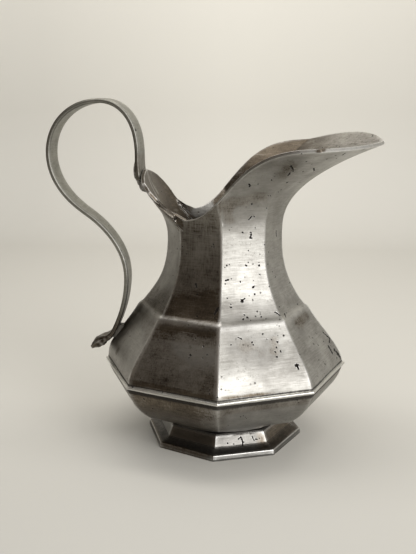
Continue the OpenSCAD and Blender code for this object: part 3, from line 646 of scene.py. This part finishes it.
# A pale painted sweep stands in for the table and the wall, with one large soft window to the right of the
# camera and dim surroundings on its left, so that the flats show their different greys.
def paint_with_shade(name, low, high):
    """Matt paint, darker on the table and lighter up the wall, with painted shade at both sides and in
    front.
    """
    s = Shades(name)
    place = s.add("SeparateXYZ", {"Vector": s.add("TexCoord", out=3)}, out=None)
    colour = s.blend(s.ramp(place.outputs["Z"], 0.0, 0.75), (*low, 1), (*high, 1))
    shade = s.math("ADD", s.math("MULTIPLY", s.ramp(place.outputs["X"], 0.0, 0.4), 0.13),
                   s.math("MULTIPLY", s.ramp(place.outputs["Y"], 0.05, -0.25), 0.2))
    shade = s.math("ADD", shade, s.math("MULTIPLY", s.ramp(place.outputs["X"], -0.05, -0.35), 0.12))
    colour = s.blend(shade, colour, (0, 0, 0, 1))
    cover = s.add("BsdfPrincipled", {"Base Color": colour, "Roughness": 0.9, "Specular IOR Level": 0.2})
    s.add("OutputMaterial", {"Surface": cover}, out=None)
    return s.material


SWEEP_RADIUS = 0.2
SWEEP_STEPS = 8
bpy.ops.object.select_all(action="DESELECT")
bpy.ops.mesh.primitive_plane_add(size=1, location=(0, -0.2, 0))
floor = bpy.context.object
floor.name = "floor"
floor.scale = (3.0, 1.4, 1)
bpy.ops.object.transform_apply(location=True, rotation=True, scale=True)
bpy.ops.object.mode_set(mode="EDIT")
bpy.ops.mesh.select_mode(type="EDGE")
bpy.ops.mesh.select_all(action="DESELECT")
bpy.ops.object.mode_set(mode="OBJECT")
for e in floor.data.edges:
    e.select = all(floor.data.vertices[v].co.y > 0.4 for v in e.vertices)
bpy.ops.object.mode_set(mode="EDIT")
bpy.ops.mesh.extrude_region_move(TRANSFORM_OT_translate={"value": (0, 0.15, 0)})
for step in range(1, SWEEP_STEPS + 1):
    a = math.radians(90 * step / SWEEP_STEPS)
    b = math.radians(90 * (step - 1) / SWEEP_STEPS)
    along, up = SWEEP_RADIUS * (math.sin(a) - math.sin(b)), SWEEP_RADIUS * (math.cos(b) - math.cos(a))
    bpy.ops.mesh.extrude_region_move(TRANSFORM_OT_translate={"value": (0, along, up)})
bpy.ops.mesh.extrude_region_move(TRANSFORM_OT_translate={"value": (0, 0, 1.2)})
bpy.ops.object.mode_set(mode="OBJECT")
bpy.ops.object.shade_smooth()
floor.data.materials.append(paint_with_shade("pale_sweep", (0.55, 0.53, 0.485), (0.785, 0.755, 0.685)))


def soft_lamp(name, place, target, size, watts, colour):
    """A rectangular area light at a place, turned to a target."""
    lamp = bpy.data.objects.new(name, bpy.data.lights.new(name, "AREA"))
    bpy.context.scene.collection.objects.link(lamp)
    lamp.data.shape = "RECTANGLE"
    lamp.data.size, lamp.data.size_y = size
    lamp.data.energy = watts
    lamp.data.color = colour
    lamp.location = place
    lamp.rotation_euler = (Vector(place) - Vector(target)).to_track_quat("Z", "Y").to_euler()


soft_lamp("window", (0.62, -0.72, 0.40), (0, 0, 0.1), (0.54, 0.82), 8.0, (0.99, 0.99, 0.995))
soft_lamp("wall light", (-0.02, 0.1, 1.25), (0.0, 0.75, 0.25), (1.2, 0.5), 7.5, (1.0, 0.98, 0.95))

# A dark card left of the camera deepens the flats that mirror it. It is seen only in reflections.
CARD_BROWN = (0.108, 0.078, 0.052)
bpy.ops.object.select_all(action="DESELECT")
bpy.ops.mesh.primitive_plane_add(size=1, location=(0, 0, 0))
card = bpy.context.object
card.name = "dark_card"
card.scale = (0.75, 0.95, 1)
card.rotation_euler = (math.radians(90), 0, math.radians(-48))
card.location = (-0.34, -0.36, 0.47)
bpy.ops.object.transform_apply(location=True, rotation=True, scale=True)
card.data.materials.append(paint_with_shade("black_card", CARD_BROWN, CARD_BROWN))
card.visible_camera = card.visible_diffuse = card.visible_shadow = False

# The room's light: bright on the spout's side and dim and warm on the handle's for reflections, and even for
# everything else.
EVEN_LIGHT = 0.84
world = bpy.data.worlds.new("room")
bpy.context.scene.world = world
world.use_nodes = True
room = world.node_tree
toward = room.nodes.new("ShaderNodeTexCoord").outputs["Generated"]
side = room.nodes.new("ShaderNodeVectorMath")
side.operation = "DOT_PRODUCT"
side.inputs[1].default_value = (0.75, 0.10, 0.25)
room.links.new(toward, side.inputs[0])
spread = room.nodes.new("ShaderNodeMapRange")
room.links.new(side.outputs["Value"], spread.inputs["Value"])
spread.inputs["From Min"].default_value = 0.0
spread.inputs["From Max"].default_value = 0.5
spread.inputs["To Min"].default_value = 0.12
spread.inputs["To Max"].default_value = 0.85
rays = room.nodes.new("ShaderNodeLightPath")
level = room.nodes.new("ShaderNodeMix")
even = room.nodes.new("ShaderNodeMath")
even.operation = "MAXIMUM"
room.links.new(rays.outputs["Is Diffuse Ray"], even.inputs[0])
room.links.new(rays.outputs["Is Camera Ray"], even.inputs[1])
room.links.new(even.outputs[0], level.inputs[0])
room.links.new(spread.outputs[0], level.inputs[2])
level.inputs[3].default_value = EVEN_LIGHT
room.links.new(level.outputs[0], room.nodes["Background"].inputs[1])
tint = room.nodes.new("ShaderNodeMix")
tint.data_type = "RGBA"
lit = room.nodes.new("ShaderNodeMath")
lit.operation = "MAXIMUM"
room.links.new(spread.outputs[0], lit.inputs[0])
room.links.new(even.outputs[0], lit.inputs[1])
room.links.new(lit.outputs[0], tint.inputs[0])
tint.inputs[6].default_value = (1.0, 0.84, 0.66, 1)
tint.inputs[7].default_value = (0.97, 0.97, 0.95, 1)
room.links.new(tint.outputs[2], room.nodes["Background"].inputs[0])
bpy.context.scene.view_settings.view_transform = "Standard"
